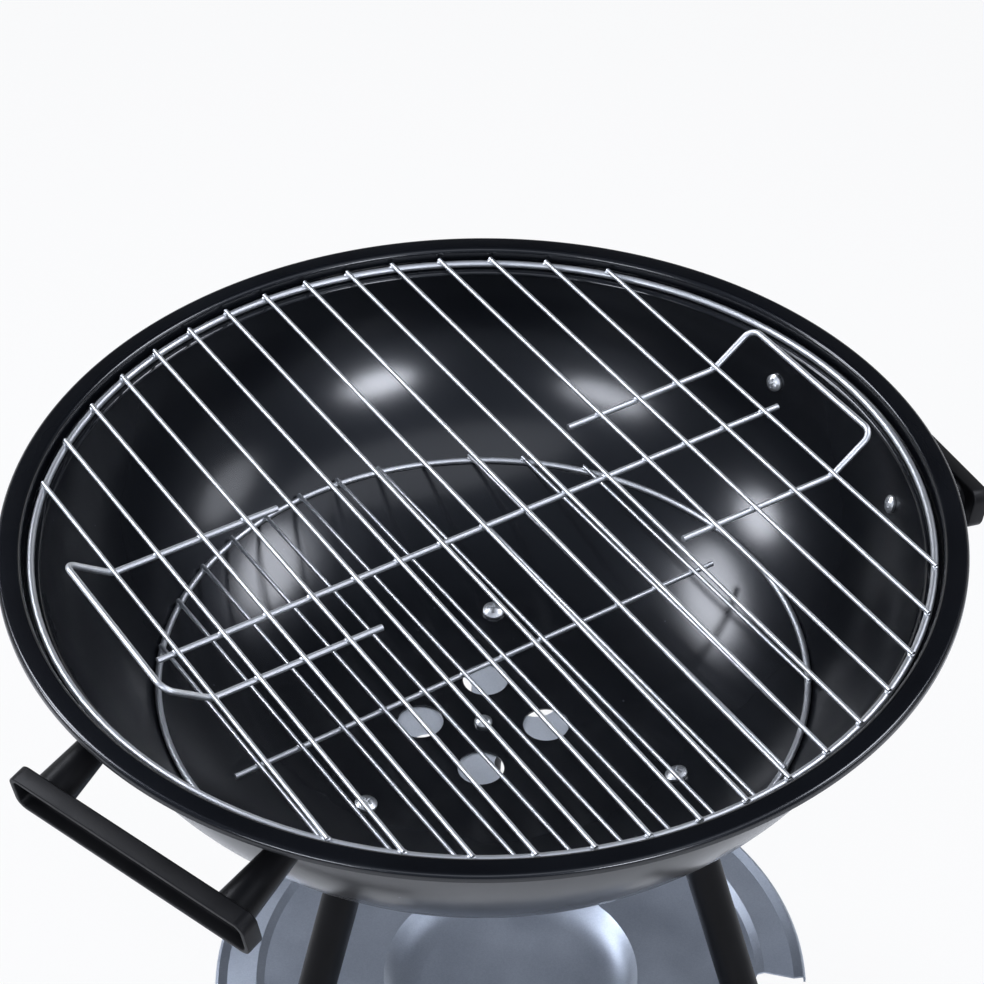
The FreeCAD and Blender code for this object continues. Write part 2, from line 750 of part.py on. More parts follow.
def make_shelf():
    dish = turned(
        "shelf_dish",
        [
            ("0", "shelf_height - well_depth"),
            ("well_radius - well_slope", "shelf_height - well_depth"),
            ("well_radius", "shelf_height", "well_arc", 1),
            ("band_start", "shelf_height"),
            ("band_crest", "crest_top"),
            ("band_end", "band_top"),
            ("lip_start", "lip_top"),
            ("shelf_radius", "lip_top - lip_bend", "lip_bend", -1),
            ("shelf_radius", "lip_top - lip_skirt"),
            ("shelf_radius - shelf_sheet", "lip_top - lip_skirt"),
            ("shelf_radius - shelf_sheet", "lip_top - lip_bend"),
            ("lip_start", "lip_top - shelf_sheet", "lip_bend - shelf_sheet", 1),
            ("band_end", "band_top - shelf_sheet"),
            ("band_crest", "crest_top - shelf_sheet"),
            ("band_start", "shelf_under"),
            ("well_radius", "shelf_under"),
            ("well_radius - well_slope", "shelf_under - well_depth", "well_arc", -1),
            ("0", "shelf_under - well_depth"),
        ],
    )
    outside = "shelf_radius + lip_width"
    inner_half = "notch_width / 2"
    outer_half = "notch_width / 2 + (shelf_radius + lip_width - notch_radius) * notch_flare"
    for side, angle in leg_angles.items():
        notch = new_sketch(dish, "XY_Plane", f"{side}_notch")
        notch.AttachmentOffset = Placement(Vector(), Rotation(z_axis, value(angle)))
        outline(
            notch,
            [
                ("notch_radius", f"0 - {inner_half}"),
                (outside, f"0 - ({outer_half})"),
                (outside, outer_half),
                ("notch_radius", inner_half),
            ],
        )
        drill_through(dish, notch)
    dish.Placement = Placement(Vector(-value("leg_shift"), 0, 0), Rotation())

    # a tongue at each notch reaches the leg and turns down along it
    pieces = [dish]
    drills = []
    for side in leg_angles:
        flat = bind(
            add("Part::Box", f"{side}_tongue"),
            Length="tongue_end - notch_radius + tongue_width / 2",
            Width="tongue_width",
            Height="shelf_sheet",
        )
        half = value("tongue_width / 2")
        corner = Vector(value("notch_radius") - half, -half, value("shelf_under"))
        flat.Placement = among_legs(side, Placement(corner, Rotation()))
        flap = bind(
            add("Part::Box", f"{side}_flap"),
            Length="shelf_sheet",
            Width="tongue_width",
            Height="tongue_drop",
        )
        corner = Vector(value("tongue_side"), -half, value("tongue_top"))
        flap.Placement = on_leg(side).multiply(Placement(corner, Rotation()))
        pieces += [flat, flap]
        label = f"{side}_flap_drill"
        start = sunk(shelf_screw_place(side), -value("shelf_screw_length"))
        drills.append(cylinder(label, "small_screw_diameter / 2 + hole_gap", "shelf_screw_length", start))
    joined = add("Part::MultiFuse", "shelf_pressing")
    joined.Shapes = pieces
    keep(cut("shelf", joined, drills))

    screw = make_screw("shelf_screw", "small_screw_diameter", "shelf_screw_length", "small_head_diameter")
    set_of("shelf_screws", screw, [shelf_screw_place(side) for side in leg_angles])
    nut = make_nut("shelf_nut")
    behind = -value("nut_behind")
    set_of("shelf_nuts", nut, [sunk(shelf_screw_place(side), behind) for side in leg_angles])


# Shelf screw: head on the leg's outer side, shank through the leg towards the legs' axis.
def shelf_screw_place(side):
    seat = Vector(-value("tube_radius + seat_gap"), 0, value("shelf_screw_at"))
    return on_leg(side).multiply(Placement(seat, Rotation(y_axis, -90)))


# Parallel wires along Y, laid across a ring.
def make_wires(label, count, pitch, wire, ring_radius, height, turn):
    rods = []
    total = round(value(count))
    for number in range(total):
        offset = f"({number} - ({count} - 1) / 2) * {pitch}"
        half = f"(sqrt({ring_radius}^2 - ({offset})^2) + wire_overhang)"
        start = Vector(value(offset), -value(half), value(height))
        lying = turn.multiply(Placement(start, Rotation(x_axis, -90)))
        rods.append(cylinder(f"{label}_{number + 1}", f"{wire} / 2", f"2 * {half}", lying))
    group = add("Part::Compound", label)
    group.Links = rods
    keep(group)


def make_ring(label, radius, wire, height):
    hoop = bind(add("Part::Torus", label), Radius1=radius, Radius2=f"{wire} / 2")
    hoop.Placement = Placement(Vector(0, 0, value(height)), Rotation())
    keep(hoop)


def make_cross_bar(label, wire, length, height, turn):
    start = Vector(-value(length) / 2, 0, value(height))
    lying = turn.multiply(Placement(start, Rotation(y_axis, 90)))
    keep(cylinder(label, f"{wire} / 2", length, lying))


# Bent wire through points, straight runs joined by tangent arcs of one radius.
def bent_wire(label, points, bend, radius, turn):
    edges = []
    start = points[0]
    for before, corner, after in zip(points, points[1:], points[2:]):
        back = (before - corner).normalize()
        ahead = (after - corner).normalize()
        half_angle = back.getAngle(ahead) / 2
        run = bend / math.tan(half_angle)
        first = corner + back * run
        last = corner + ahead * run
        middle_way = (back + ahead).normalize()
        middle = corner + middle_way * (bend / math.sin(half_angle) - bend)
        edges.append(Part.LineSegment(start, first).toShape())
        edges.append(Part.Arc(first, middle, last).toShape())
        start = last
    edges.append(Part.LineSegment(start, points[-1]).toShape())
    path = Part.Wire(edges)
    section = Part.Wire(Part.Circle(points[0], points[1] - points[0], radius).toShape())
    item = add("Part::Feature", label)
    item.Shape = path.makePipeShell([section], True, False)
    item.Placement = turn
    keep(item)


# Lifting loop: two arms under the wires that rise outwards past the last wire and join.
def make_loop(side, direction, turn):
    shift = value(side + "_loop_shift")
    half = value("loop_width") / 2
    low = value("loop_height")
    high = low + value("loop_rise")
    inner = direction * value("loop_start")
    knee = direction * value("last_wire")
    outer = direction * (value("last_wire") + value("loop_reach"))
    points = [
        Vector(inner, shift - half, low),
        Vector(knee, shift - half, low),
        Vector(outer, shift - half, high),
        Vector(outer, shift + half, high),
        Vector(knee, shift + half, low),
        Vector(inner, shift + half, low),
    ]
    bent_wire(f"cooking_grate_loop_{side}", points, value("loop_bend"), value("loop_wire") / 2, turn)


def make_cooking_grate():
    turn = Placement(Vector(), Rotation(z_axis, value("grate_angle")))
    make_ring("cooking_grate_ring", "grate_ring_radius", "grate_ring_wire", "grate_ring_height")
    make_wires(
        "cooking_grate_wires",
        "grate_wires",
        "grate_pitch",
        "grate_wire",
        "grate_ring_radius",
        "grate_wire_height",
        turn,
    )
    make_cross_bar("cooking_grate_cross_bar", "grate_bar_wire", "grate_bar_length", "grate_bar_height", turn)
    make_loop("right", 1, turn)
    make_loop("left", -1, turn)


def make_charcoal_grate():
    turn = Placement(Vector(), Rotation(z_axis, value("charcoal_angle")))
    make_ring("charcoal_grate_ring", "charcoal_ring_radius", "charcoal_ring_wire", "charcoal_ring_height")
    make_wires(
        "charcoal_grate_wires",
        "charcoal_wires",
        "charcoal_pitch",
        "charcoal_wire",
        "charcoal_ring_radius",
        "charcoal_wire_height",
        turn,
    )
    make_cross_bar(
        "charcoal_grate_cross_bar",
        "charcoal_bar_wire",
        "charcoal_bar_length",
        "charcoal_bar_height",
        turn,
    )


def axle_place():
    start = Vector(value("axle_x"), -value("axle_half"), value("axle_height"))
    return Placement(start, Rotation(x_axis, -90))


# Place on the axle at a distance from its middle, local Z outwards.
def on_axle(side, distance):
    sign = 1 if side == "left" else -1
    start = Vector(value("axle_x"), sign * value(distance), value("axle_height"))
    return Placement(start, Rotation(x_axis, -90 * sign))


def make_wheels():
    keep(cylinder("axle", "axle_diameter / 2", "2 * axle_half", axle_place()))
    for side in ("left", "right"):
        make_wheel(side)
        sleeve = "axle_diameter / 2 + fit_gap"
        spacer = turned(
            f"axle_spacer_{side}",
            [
                (sleeve, "0"),
                ("spacer_diameter / 2", "0"),
                ("spacer_diameter / 2", "spacer_length"),
                (sleeve, "spacer_length"),
            ],
        )
        spacer.Placement = on_axle(side, "spacer_start")
        keep(spacer)
        cap = turned(
            f"axle_cap_{side}",
            [
                (sleeve, "0"),
                ("axle_cap_diameter / 2", "0"),
                ("axle_cap_diameter / 2", "cap_height - axle_cap_round"),
                ("axle_cap_diameter / 2 - axle_cap_round", "cap_height", "axle_cap_round", 1),
                ("0", "cap_height"),
                ("0", "axle_grip"),
                (sleeve, "axle_grip"),
            ],
        )
        cap.Placement = on_axle(side, "cap_start")
        keep(cap)


# Moulded wheel standing on z = 0 with its hub's inner end.
def make_wheel(side):
    middle = "hub_length / 2"
    hub = "hub_diameter / 2"
    inner_web, outer_web = f"{middle} - web_thickness / 2", f"{middle} + web_thickness / 2"
    inner_side, outer_side = f"{middle} - tread_width / 2", f"{middle} + tread_width / 2"
    wheel = turned(
        f"wheel_{side}",
        [
            ("wheel_bore", "0"),
            (hub, "0"),
            (hub, inner_web),
            ("rim_inside", inner_web),
            ("rim_inside", inner_side),
            ("wheel_radius - tread_shoulder", inner_side),
            ("wheel_radius", f"{inner_side} + tread_shoulder", "tread_shoulder", 1),
            ("wheel_radius", f"{outer_side} - tread_shoulder"),
            ("wheel_radius - tread_shoulder", outer_side, "tread_shoulder", 1),
            ("rim_inside", outer_side),
            ("rim_inside", outer_web),
            (hub, outer_web),
            (hub, "hub_length"),
            ("wheel_bore", "hub_length"),
        ],
    )
    holes = new_sketch(wheel, "XY_Plane", f"wheel_{side}_holes")
    ring(holes, "web_circle", "0", "web_hole")
    repeat_round(wheel, drill_through(wheel, holes), holes, "web_holes")
    wheel.Placement = on_axle(side, "hub_start")
    keep(wheel)


def write_parts():
    doc.recompute()
    for item in doc.Objects:
        if "Invalid" in item.State or "Error" in item.State:
            raise RuntimeError(f"{item.Label} failed: {item.State}")
    os.makedirs("parts", exist_ok=True)
    for node in nodes:
        shape = node.Shape
        if shape.isNull() or not shape.isValid() or not shape.Solids:
            raise RuntimeError(f"{node.Label} has no valid solid")
        shape.exportStep(f"parts/{node.Label}.step")
        print(node.Label, len(shape.Solids), round(shape.Volume, 1))


bowl_space = make_bowl_space()
make_bowl()
make_vent()
make_legs(bowl_space)
make_handles(bowl_space)
make_shelf()
make_cooking_grate()
make_charcoal_grate()
make_wheels()
write_parts()
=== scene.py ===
import bpy
import bmesh
import math
import random
from mathutils import Matrix, Vector


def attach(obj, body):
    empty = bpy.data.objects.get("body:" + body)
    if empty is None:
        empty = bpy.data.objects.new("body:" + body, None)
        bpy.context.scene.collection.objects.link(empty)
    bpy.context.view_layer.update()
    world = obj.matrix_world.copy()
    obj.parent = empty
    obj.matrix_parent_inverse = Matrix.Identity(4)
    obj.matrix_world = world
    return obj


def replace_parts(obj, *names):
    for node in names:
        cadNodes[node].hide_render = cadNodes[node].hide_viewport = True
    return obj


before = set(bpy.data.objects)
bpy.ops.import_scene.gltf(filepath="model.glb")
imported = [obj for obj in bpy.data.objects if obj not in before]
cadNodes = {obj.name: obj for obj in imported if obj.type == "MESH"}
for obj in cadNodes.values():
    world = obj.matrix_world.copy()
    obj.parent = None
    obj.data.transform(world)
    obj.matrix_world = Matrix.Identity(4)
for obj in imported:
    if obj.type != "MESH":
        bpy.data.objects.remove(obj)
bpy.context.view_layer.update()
print("frame loaded with", len(cadNodes), "nodes")

mm = 0.001
noiseSpan = (0.3, 0.7)  # nearly all of a noise pattern lies between these


# sRGB hex to the linear colour that a shader takes
def paint(hexColour):
    shares = [int(hexColour[at:at + 2], 16) / 255 for at in (1, 3, 5)]
    linear = [s / 12.92 if s <= 0.04045 else ((s + 0.055) / 1.055) ** 2.4 for s in shares]
    return (*linear, 1)


# pattern scale for a feature of this size in millimetres
def perMm(size):
    return 1000 / size


# one shader node with its settings and links
def addNode(tree, kind, settings=None, inputs=None):
    made = tree.nodes.new("ShaderNode" + kind)
    for name, setting in (settings or {}).items():
        setattr(made, name, setting)
    for name, source in (inputs or {}).items():
        if isinstance(source, bpy.types.NodeSocket):
            tree.links.new(source, made.inputs[name])
        else:
            made.inputs[name].default_value = source
    return made


# an empty node tree for a material or the world
def blankTree(owner):
    owner.use_nodes = True
    owner.node_tree.nodes.clear()
    return owner.node_tree


def newFinish(name):
    material = bpy.data.materials.new(name)
    tree = blankTree(material)
    place = addNode(tree, "TexCoord").outputs["Object"]
    return material, tree, place


def closeFinish(tree, shader):
    addNode(tree, "OutputMaterial", {}, {"Surface": shader.outputs["BSDF"]})


# Vitreous enamel, sprayed and fired on pressed steel: deep black gloss with a soft
# wave in its reflections, a cool haze round each highlight, a faint bloom and a few
# specks of dust
enamel = {
    "tones": ((0.35, "#050609"), (0.7, "#090b0f")),  # black, then bloom
    "bloomSize": 70,
    "speck": "#4b4e56",
    "speckSpacing": 11,
    "speckFree": 0.6,  # share of the cells without a speck
    "speckRadius": 0.045,  # of the spacing, at most
    "ior": 1.5,
    "gloss": 0.18,
    "glossShare": 0.8,
    "glossIor": 1.6,
    "haze": "#dbe7ff",
    "hazeShine": 0.12,
    "roughness": (0.32, 0.4),
    "cloudSize": 28,
    "peelSize": 5.0,
    "peelDepth": 0.012,
    "peelStrength": 0.12,
}


def makeEnamel():
    material, tree, place = newFinish("fired_enamel")
    bloom = addNode(tree, "TexNoise", {}, {
        "Vector": place,
        "Scale": perMm(enamel["bloomSize"]),
        "Detail": 3.0,
    })
    base = addNode(tree, "ValToRGB", {}, {"Fac": bloom.outputs["Fac"]})
    for stop, (at, tone) in zip(base.color_ramp.elements, enamel["tones"]):
        stop.position, stop.color = at, paint(tone)
    # one speck in a few cells, up to a millimetre wide
    cells = addNode(tree, "TexVoronoi", {}, {
        "Vector": place,
        "Scale": perMm(enamel["speckSpacing"]),
    })
    pick = addNode(tree, "SeparateColor", {}, {"Color": cells.outputs["Color"]})
    size = addNode(tree, "MapRange", {}, {
        "Value": pick.outputs["Red"],
        "From Min": enamel["speckFree"],
        "From Max": 1.0,
        "To Min": 0.0,
        "To Max": enamel["speckRadius"],
    })
    dot = addNode(tree, "Math", {"operation": "LESS_THAN"}, {
        0: cells.outputs["Distance"],
        1: size.outputs["Result"],
    })
    colour = addNode(tree, "Mix", {"data_type": "RGBA"}, {
        0: dot.outputs[0],
        6: base.outputs["Color"],
        7: paint(enamel["speck"]),
    })
    cloud = addNode(tree, "TexNoise", {}, {
        "Vector": place,
        "Scale": perMm(enamel["cloudSize"]),
        "Detail": 4.0,
    })
    rough = addNode(tree, "MapRange", {}, {
        "Value": cloud.outputs["Fac"],
        "From Min": noiseSpan[0],
        "From Max": noiseSpan[1],
        "To Min": enamel["roughness"][0],
        "To Max": enamel["roughness"][1],
    })
    peel = addNode(tree, "TexNoise", {}, {
        "Vector": place,
        "Scale": perMm(enamel["peelSize"]),
        "Detail": 2.0,
    })
    wave = addNode(tree, "Bump", {}, {
        "Strength": enamel["peelStrength"],
        "Distance": enamel["peelDepth"] * mm,
        "Height": peel.outputs["Fac"],
    })
    shader = addNode(tree, "BsdfPrincipled", {}, {
        "Base Color": colour.outputs[2],
        "Roughness": rough.outputs["Result"],
        "IOR": enamel["ior"],
        "Specular IOR Level": enamel["hazeShine"],
        "Specular Tint": paint(enamel["haze"]),
        "Coat Weight": enamel["glossShare"],
        "Coat Roughness": enamel["gloss"],
        "Coat IOR": enamel["glossIor"],
        "Coat Normal": wave.outputs["Normal"],
        "Normal": wave.outputs["Normal"],
    })
    closeFinish(tree, shader)
    return material


# Drawn steel wire, nickel or zinc plated, and zinc plated screws: bright with a satin
# blur, slightly mottled where the plating built up unevenly
plating = {
    "mottleStops": (0.3, 0.65),
    "scuffStrength": 0.03,
    "scuffDepth": 0.02,
}
grateWire = {
    "bright": "#d9dbde",
    "shade": "#ced1d5",
    "roughness": (0.42, 0.48),
    "mottleSize": 9,
    "markSize": 1.2,
}
charcoalWire = {
    "bright": "#dcdee1",
    "shade": "#d0d3d7",
    "roughness": (0.42, 0.48),
    "mottleSize": 7,
    "markSize": 1.2,
}
zincScrew = {
    "bright": "#ecedee",
    "shade": "#d2d5d8",
    "roughness": (0.36, 0.46),
    "mottleSize": 2.5,
    "markSize": 0.5,
}


def makePlatedWire(name, look):
    material, tree, place = newFinish(name)
    mottle = addNode(tree, "TexNoise", {}, {
        "Vector": place,
        "Scale": perMm(look["mottleSize"]),
        "Detail": 3.0,
    })
    colour = addNode(tree, "ValToRGB", {}, {"Fac": mottle.outputs["Fac"]})
    tones = zip(plating["mottleStops"], (look["shade"], look["bright"]))
    for stop, (at, tone) in zip(colour.color_ramp.elements, tones):
        stop.position, stop.color = at, paint(tone)
    # smoother where it is brighter
    rough = addNode(tree, "MapRange", {}, {
        "Value": mottle.outputs["Fac"],
        "From Min": noiseSpan[0],
        "From Max": noiseSpan[1],
        "To Min": look["roughness"][1],
        "To Max": look["roughness"][0],
    })
    # drawing marks are finer than this on the real wire
    marks = addNode(tree, "TexNoise", {}, {
        "Vector": place,
        "Scale": perMm(look["markSize"]),
        "Detail": 2.0,
    })
    scuff = addNode(tree, "Bump", {}, {
        "Strength": plating["scuffStrength"],
        "Distance": plating["scuffDepth"] * mm,
        "Height": marks.outputs["Fac"],
    })
    shader = addNode(tree, "BsdfPrincipled", {}, {
        "Base Color": colour.outputs["Color"],
        "Metallic": 1.0,
        "Roughness": rough.outputs["Result"],
        "Normal": scuff.outputs["Normal"],
    })
    closeFinish(tree, shader)
    return material


# Silver lacquer with metal flake on pressed steel: a soft, cool metallic sheen that
# brightens towards the light
lacquer = {
    "toneStops": (0.35, 1.0),
    "flakeSize": 0.6,  # real flake is a tenth of this
    "flakeShare": 0.35,
    "peelSize": 2.5,
    "peelDepth": 0.02,
    "peelStrength": 0.2,
}
shelfLacquer = {
    "base": "#adb6c4",
    "light": "#c0c8d4",
    "metallic": 0.8,
    "roughness": (0.32, 0.4),
    "cloudSize": 45,
}
# The damper has the shelf's own lacquer, painted lighter and less metallic: painted light
# standing in for the light that falls on it through the vents
damperPaintedLightLacquer = {
    "base": "#ced4dc",
    "light": "#dce1e8",
    "metallic": 0.4,
    "roughness": (0.34, 0.42),
    "cloudSize": 30,
}


def makeSilverLacquer(name, look):
    material, tree, place = newFinish(name)
    cloud = addNode(tree, "TexNoise", {}, {
        "Vector": place,
        "Scale": perMm(look["cloudSize"]),
        "Detail": 3.0,
    })
    flake = addNode(tree, "TexVoronoi", {}, {
        "Vector": place,
        "Scale": perMm(lacquer["flakeSize"]),
    })
    glint = addNode(tree, "SeparateColor", {}, {"Color": flake.outputs["Color"]})
    share = addNode(tree, "Math", {"operation": "MULTIPLY_ADD"}, {
        0: glint.outputs["Red"],
        1: lacquer["flakeShare"],
        2: cloud.outputs["Fac"],
    })
    colour = addNode(tree, "ValToRGB", {}, {"Fac": share.outputs[0]})
    tones = zip(lacquer["toneStops"], (look["base"], look["light"]))
    for stop, (at, tone) in zip(colour.color_ramp.elements, tones):
        stop.position, stop.color = at, paint(tone)
    rough = addNode(tree, "MapRange", {}, {
        "Value": cloud.outputs["Fac"],
        "From Min": noiseSpan[0],
        "From Max": noiseSpan[1],
        "To Min": look["roughness"][0],
        "To Max": look["roughness"][1],
    })
    peel = addNode(tree, "TexNoise", {}, {
        "Vector": place,
        "Scale": perMm(lacquer["peelSize"]),
        "Detail": 2.0,
    })
    wave = addNode(tree, "Bump", {}, {
        "Strength": lacquer["peelStrength"],
        "Distance": lacquer["peelDepth"] * mm,
        "Height": peel.outputs["Fac"],
    })
    shader = addNode(tree, "BsdfPrincipled", {}, {
        "Base Color": colour.outputs["Color"],
        "Metallic": look["metallic"],
        "Roughness": rough.outputs["Result"],
        "Normal": wave.outputs["Normal"],
    })
    closeFinish(tree, shader)
    return material


# Satin black finishes with a fine grain that dulls their highlights: powder coat on
# tube, moulded polypropylene and moulded polyethylene
satinBlack = {
    "toneStops": (0.3, 0.7),
    "grainDepth": 0.05,
}
powderCoat = {
    "dark": "#0a0a0b",
    "light": "#101012",
    "roughness": (0.36, 0.46),
    "cloudSize": 30,
    "grainSize": 0.8,
    "grainStrength": 0.3,
    "ior": 1.5,
    "shine": 0.1,
}
polypropylene = {
    "dark": "#0b0b0d",
    "light": "#111113",
    "roughness": (0.34, 0.46),
    "cloudSize": 18,
    "grainSize": 0.7,
    "grainStrength": 0.35,
    "ior": 1.49,
    "shine": 0.2,
}
polyethylene = {
    "dark": "#161618",
    "light": "#202023",
    "roughness": (0.5, 0.62),
    "cloudSize": 22,
    "grainSize": 0.9,
    "grainStrength": 0.4,
    "ior": 1.5,
    "shine": 0.25,
}


def makeSatinBlack(name, look):
    material, tree, place = newFinish(name)
    cloud = addNode(tree, "TexNoise", {}, {
        "Vector": place,
        "Scale": perMm(look["cloudSize"]),
        "Detail": 4.0,
    })
    colour = addNode(tree, "ValToRGB", {}, {"Fac": cloud.outputs["Fac"]})
    tones = zip(satinBlack["toneStops"], (look["dark"], look["light"]))
    for stop, (at, tone) in zip(colour.color_ramp.elements, tones):
        stop.position, stop.color = at, paint(tone)
    rough = addNode(tree, "MapRange", {}, {
        "Value": cloud.outputs["Fac"],
        "From Min": noiseSpan[0],
        "From Max": noiseSpan[1],
        "To Min": look["roughness"][0],
        "To Max": look["roughness"][1],
    })
    grain = addNode(tree, "TexNoise", {}, {
        "Vector": place,
        "Scale": perMm(look["grainSize"]),
        "Detail": 3.0,
    })
    dimple = addNode(tree, "Bump", {}, {
        "Strength": look["grainStrength"],
        "Distance": satinBlack["grainDepth"] * mm,
        "Height": grain.outputs["Fac"],
    })
    shader = addNode(tree, "BsdfPrincipled", {}, {
        "Base Color": colour.outputs["Color"],
        "Roughness": rough.outputs["Result"],
        "IOR": look["ior"],
        "Specular IOR Level": look["shine"],
        "Normal": dimple.outputs["Normal"],
    })
    closeFinish(tree, shader)
    return material


# Bright drawn steel rod: a grey mirror drawn out by lines round it
axleSteel = {
    "bright": "#c6c8ca",
    "shade": "#a9acb0",
    "roughness": (0.24, 0.36),
    "mottleSize": 8,
    "lineSpacing": 3.77,  # the real lines are far finer, too fine to show
    "lineWander": 1.5,
    "lineDepth": 0.02,
    "lineStrength": 0.05,
    "waveTurn": 20,  # radians that the wave pattern runs over one unit
}


def makeAxleSteel():
    material, tree, place = newFinish("drawn_steel")
    lines = addNode(tree, "TexWave", {"bands_direction": "Y"}, {
        "Vector": place,
        "Scale": perMm(axleSteel["lineSpacing"]) * math.tau / axleSteel["waveTurn"],
        "Distortion": axleSteel["lineWander"],
        "Detail": 2.0,
    })
    mottle = addNode(tree, "TexNoise", {}, {
        "Vector": place,
        "Scale": perMm(axleSteel["mottleSize"]),
        "Detail": 3.0,
    })
    colour = addNode(tree, "Mix", {"data_type": "RGBA"}, {
        0: mottle.outputs["Fac"],
        6: paint(axleSteel["shade"]),
        7: paint(axleSteel["bright"]),
    })
    rough = addNode(tree, "MapRange", {}, {
        "Value": mottle.outputs["Fac"],
        "From Min": noiseSpan[0],
        "From Max": noiseSpan[1],
        "To Min": axleSteel["roughness"][0],
        "To Max": axleSteel["roughness"][1],
    })
    groove = addNode(tree, "Bump", {}, {
        "Strength": axleSteel["lineStrength"],
        "Distance": axleSteel["lineDepth"] * mm,
        "Height": lines.outputs["Fac"],
    })
    shader = addNode(tree, "BsdfPrincipled", {}, {
        "Base Color": colour.outputs[2],
        "Metallic": 1.0,
        "Roughness": rough.outputs["Result"],
        "Normal": groove.outputs["Normal"],
    })
    closeFinish(tree, shader)
    return material


finishes = {
    "black_enamel": makeEnamel(),
    "bright_wire": makePlatedWire("nickel_plated_wire", grateWire),
    "dull_wire": makePlatedWire("zinc_plated_wire", charcoalWire),
    "plated_screw": makePlatedWire("zinc_plated_screw", zincScrew),
    "silver_coat": makeSilverLacquer("silver_lacquer", shelfLacquer),
    "leg_coat": makeSatinBlack("powder_coated_tube", powderCoat),
    "black_moulding": makeSatinBlack("moulded_polypropylene", polypropylene),
    "wheel_moulding": makeSatinBlack("moulded_polyethylene", polyethylene),
    "axle_steel": makeAxleSteel(),
}
for node in cadNodes.values():
    slotName = node.material_slots[0].name.split(".")[0]
    node.material_slots[0].material = finishes[slotName]
# the damper gets the lighter copy of the shelf's lacquer, which is painted light
damperLitLacquerCopy = makeSilverLacquer("silver_lacquer_painted_light", damperPaintedLightLacquer)
cadNodes["vent_damper"].material_slots[0].material = damperLitLacquerCopy
print("finishes on", len(cadNodes), "nodes")


def newObject(name, data):
    made = bpy.data.objects.new(name, data)
    bpy.context.scene.collection.objects.link(made)
    return made


# a mesh piece in the row frame that rides on a body
def addPiece(name, mesh, body, slotName):
    piece = newObject(name, mesh)
    piece.data.materials.append(finishes[slotName])
    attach(piece, body)
    return piece


# a smooth mesh in metres from a form in millimetres, sharp where it turns past crease
def finishMesh(name, form, turn=Matrix(), crease=38):
    bmesh.ops.recalc_face_normals(form, faces=form.faces)
    bmesh.ops.transform(form, matrix=Matrix.Scale(mm, 4) @ turn, verts=form.verts)
    for face in form.faces:
        face.smooth = True
    mesh = bpy.data.meshes.new(name)
    form.to_mesh(mesh)
    form.free()
    mesh.set_sharp_from_angle(angle=math.radians(crease))
    return mesh


# a level ring of points about (x, y)
def roundRing(form, x, y, z, radius, count):
    ring = []
    for step in range(count):
        turn = math.tau * step / count
        spot = (x + radius * math.cos(turn), y + radius * math.sin(turn), z)
        ring.append(form.verts.new(spot))
    return ring


# a band of faces between two rings of as many points
def bridge(form, ring, nextRing):
    for at in range(len(ring)):
        after = (at + 1) % len(ring)
        form.faces.new((ring[at], ring[after], nextRing[after], nextRing[at]))


# Pressed bowl, turned so finely that light runs along its rim and step unbroken
bowlForm = {
    "floorRadius": 60,
    "floorTop": 413,
    "wallRadius": 140,
    "sheet": 1,
    "ledgeTop": 534,
    "ledgeWidth": 8,
    "ledgeBend": 2.2,
    "stepBend": 1.2,
    "rimTop": 542,
    "rimWidth": 11,
    "rimBend": 2,
    "rimSkirt": 3.5,
    "vents": 4,
    "ventCircle": 30,
    "ventTurn": 22,
    "ventRadius": 11,
    "pivotRadius": 2.75,
    "turns": 288,
    "holeTurns": 64,
    "wallSteps": 40,
    "undersideSteps": 32,
    "bendSteps": 8,
    "stepSteps": 6,
    "hiddenSteps": 5,
}


# points on an arc about (r, z), the first one left out
def arc(r, z, radius, start, end, steps):
    turns = [start + (end - start) * step / steps for step in range(1, steps + 1)]
    angles = [math.radians(turn) for turn in turns]
    return [(r + radius * math.cos(angle), z + radius * math.sin(angle)) for angle in angles]


# the sheet's outline from the floor up inside, over the rim and back down outside
def bowlProfile():
    b = bowlForm
    floor, sheet, bend, ledge = b["floorRadius"], b["sheet"], b["stepBend"], b["ledgeTop"]
    bendSteps, stepSteps, hiddenSteps = b["bendSteps"], b["stepSteps"], b["hiddenSteps"]
    centre = b["floorTop"] + b["wallRadius"]
    inner, outer = b["wallRadius"], b["wallRadius"] + sheet
    innerEnd = math.asin((ledge - centre) / inner)
    outerEnd = math.degrees(math.asin((ledge - sheet - centre) / outer))
    step = floor + inner * math.cos(innerEnd) + b["ledgeWidth"]
    rim, top, low = step + b["rimWidth"], b["rimTop"], ledge + bend
    skirt, roll, rimBend = top - b["rimSkirt"], top - b["rimBend"], b["rimBend"]
    high, shoulder = top - bend - sheet, step + bend + sheet
    # the wall rounds over into the ledge
    turn = b["ledgeBend"]
    turnStart = math.asin((ledge - turn - centre) / (inner + turn))
    turnReach = floor + (inner + turn) * math.cos(turnStart)
    turnStart = math.degrees(turnStart)
    points = [(floor, b["floorTop"])]
    points += arc(floor, centre, inner, -90, turnStart, b["wallSteps"])
    points += arc(turnReach, ledge - turn, turn, turnStart + 180, 90, bendSteps)
    points += [(step - bend, ledge)] + arc(step - bend, low, bend, -90, 0, stepSteps)
    points += [(step, high)] + arc(shoulder, high, bend + sheet, 180, 90, bendSteps)
    points += [(rim - rimBend, top)] + arc(rim - rimBend, roll, rimBend, 90, 0, bendSteps)
    points += [(rim, skirt), (rim - sheet, skirt), (rim - sheet, roll)]
    points += arc(rim - rimBend, roll, rimBend - sheet, 0, 90, hiddenSteps)
    points += [(shoulder, top - sheet)] + arc(shoulder, high, bend, 90, 180, hiddenSteps)
    points += [(step + sheet, low)]
    points += arc(step - bend, low, bend + sheet, 0, -90, stepSteps)
    return points + arc(floor, centre, outer, outerEnd, -90, b["undersideSteps"])


